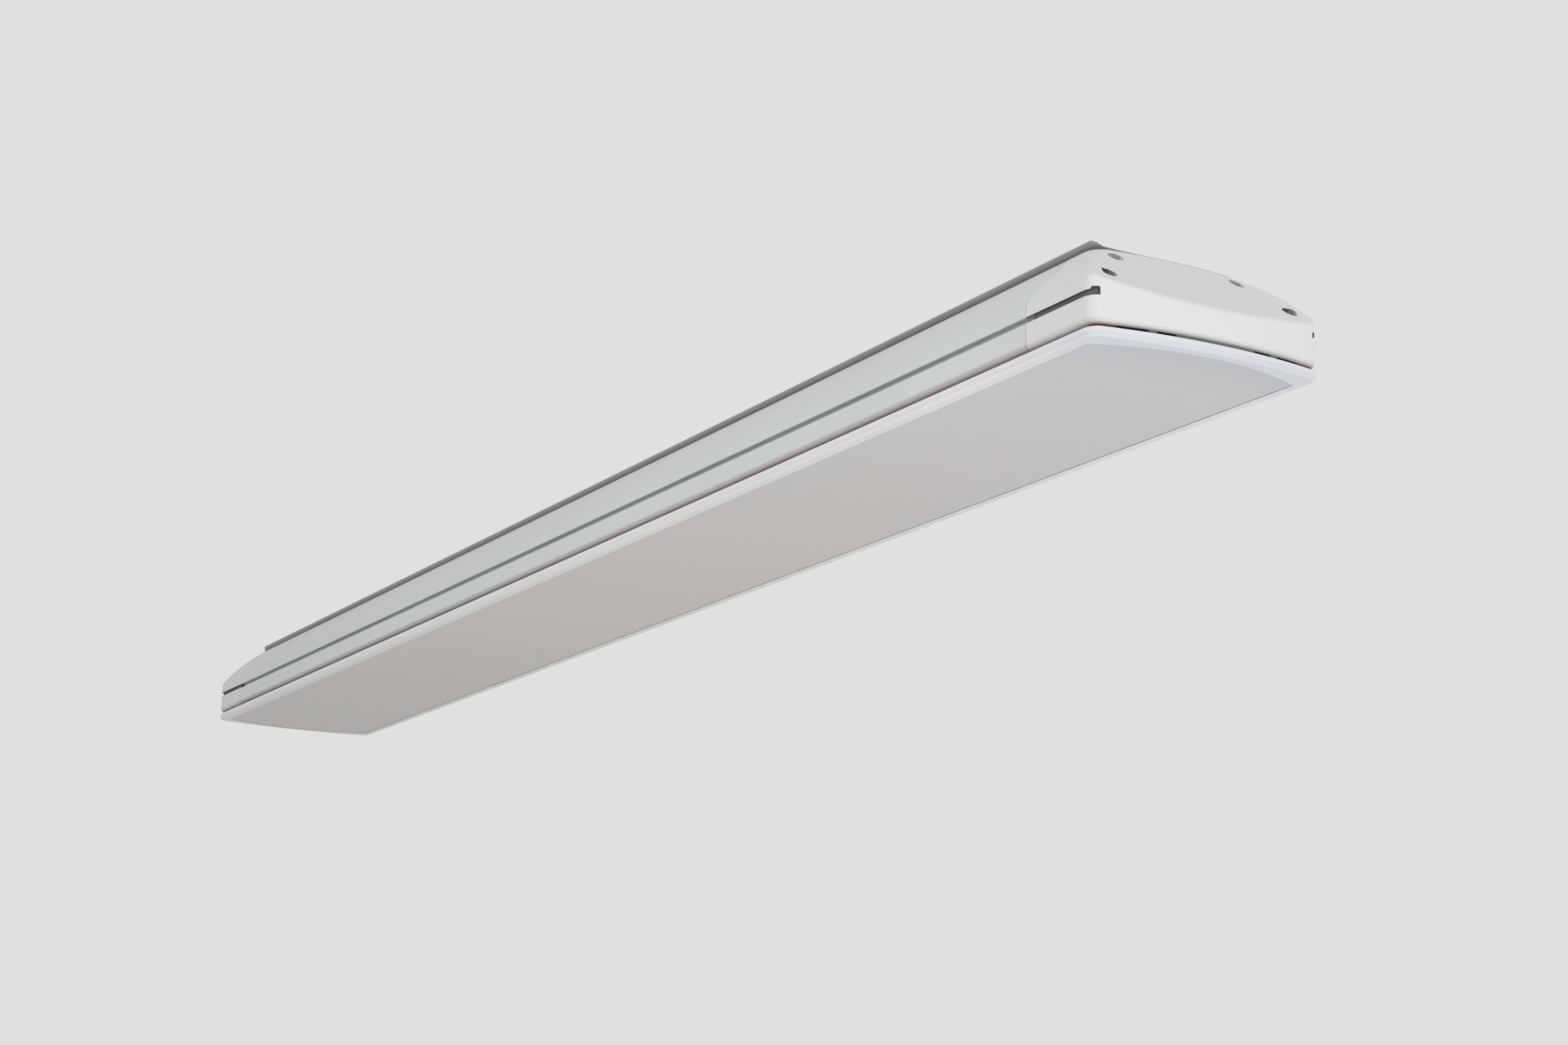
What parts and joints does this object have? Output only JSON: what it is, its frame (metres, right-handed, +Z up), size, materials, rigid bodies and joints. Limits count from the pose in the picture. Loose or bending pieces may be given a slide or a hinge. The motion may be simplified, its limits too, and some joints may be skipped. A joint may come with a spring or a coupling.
{
  "type": "radiant heater",
  "caption": "Long white ceiling-hung radiant heater bar with a flush frosted glass front in a white frame, sloping moulded ends, a dark rear cover and sliding hangers.",
  "frame": {"origin": "in the ceiling plane, on the heater's middle line, midway between the two hanger plates; the heater hangs below it", "axes": "+X along the bar towards the terminal cover, +Z up towards the ceiling"},
  "size_m": [1.81, 0.19, 0.1085],
  "materials": {
    "white_paint": "satin white powder coat",
    "white_moulding": "satin white moulding",
    "frosted_glass": "satin grey-white, opaque",
    "black_rubber": "matt",
    "dark_metal": "satin dark grey",
    "steel": "zinc plated",
    "bright_aluminium": "bright rolled",
    "quartz": "satin quartz",
    "ceramic": "unglazed",
    "blanket": "fibre blanket",
    "black_plastic": "matt black",
    "lead_sleeve": "braided sleeve"
  },
  "bodies": {
    "heater": {"cable_gland": "black_plastic", "cap_screw_left_lower_far": "steel", "cap_screw_left_lower_near": "steel", "cap_screw_left_upper_far": "steel", "cap_screw_left_upper_near": "steel", "cap_screw_right_lower_far": "steel", "cap_screw_right_lower_near": "steel", "cap_screw_right_upper_far": "steel", "cap_screw_right_upper_near": "steel", "centre_ceramic_far": "ceramic", "centre_ceramic_near": "ceramic", "clamp_plate_left": "steel", "clamp_plate_right": "steel", "cover_bolt_left": "steel", "cover_bolt_middle": "steel", "cover_bolt_right": "steel", "end_cap_left": "white_moulding", "end_cap_right": "white_moulding", "end_ceramic_far_left": "ceramic", "end_ceramic_far_right": "ceramic", "end_ceramic_near_left": "ceramic", "end_ceramic_near_right": "ceramic", "end_plate_left": "bright_aluminium", "end_plate_right": "bright_aluminium", "frame_clip_far_left": "steel", "frame_clip_far_middle": "steel", "frame_clip_far_right": "steel", "frame_clip_left": "steel", "frame_clip_near_left": "steel", "frame_clip_near_middle": "steel", "frame_clip_near_right": "steel", "frame_clip_right": "steel", "front_frame": "white_paint", "front_glass": "frosted_glass", "glass_gasket": "black_rubber", "heat_shield": "steel", "heating_tube_far_left": "quartz", "heating_tube_far_right": "quartz", "heating_tube_near_left": "quartz", "heating_tube_near_right": "quartz", "housing": "white_paint", "insulation_blanket": "blanket", "lead_far": "lead_sleeve", "lead_near": "lead_sleeve", "rear_cover": "dark_metal", "reflector_far": "bright_aluminium", "reflector_near": "bright_aluminium", "terminal_block": "black_plastic", "terminal_cover": "dark_metal", "terminal_screw_left": "steel", "terminal_screw_right": "steel", "thermal_cutout": "black_plastic"},
    "hanger_left": {"hanger_shoe_left": "steel", "hanger_post_left": "steel", "lock_nut_left": "steel", "ceiling_plate_left": "dark_metal"},
    "hanger_right": {"hanger_shoe_right": "steel", "hanger_post_right": "steel", "lock_nut_right": "steel", "ceiling_plate_right": "dark_metal"}
  },
  "joints": [
    {"name": "hanger_left_slide", "type": "slide", "parent": "heater", "child": "hanger_left", "axis": [1, 0, 0], "range_m": [-0.15, 0.15]},
    {"name": "hanger_right_slide", "type": "slide", "parent": "heater", "child": "hanger_right", "axis": [1, 0, 0], "range_m": [-0.15, 0.15]}
  ]
}
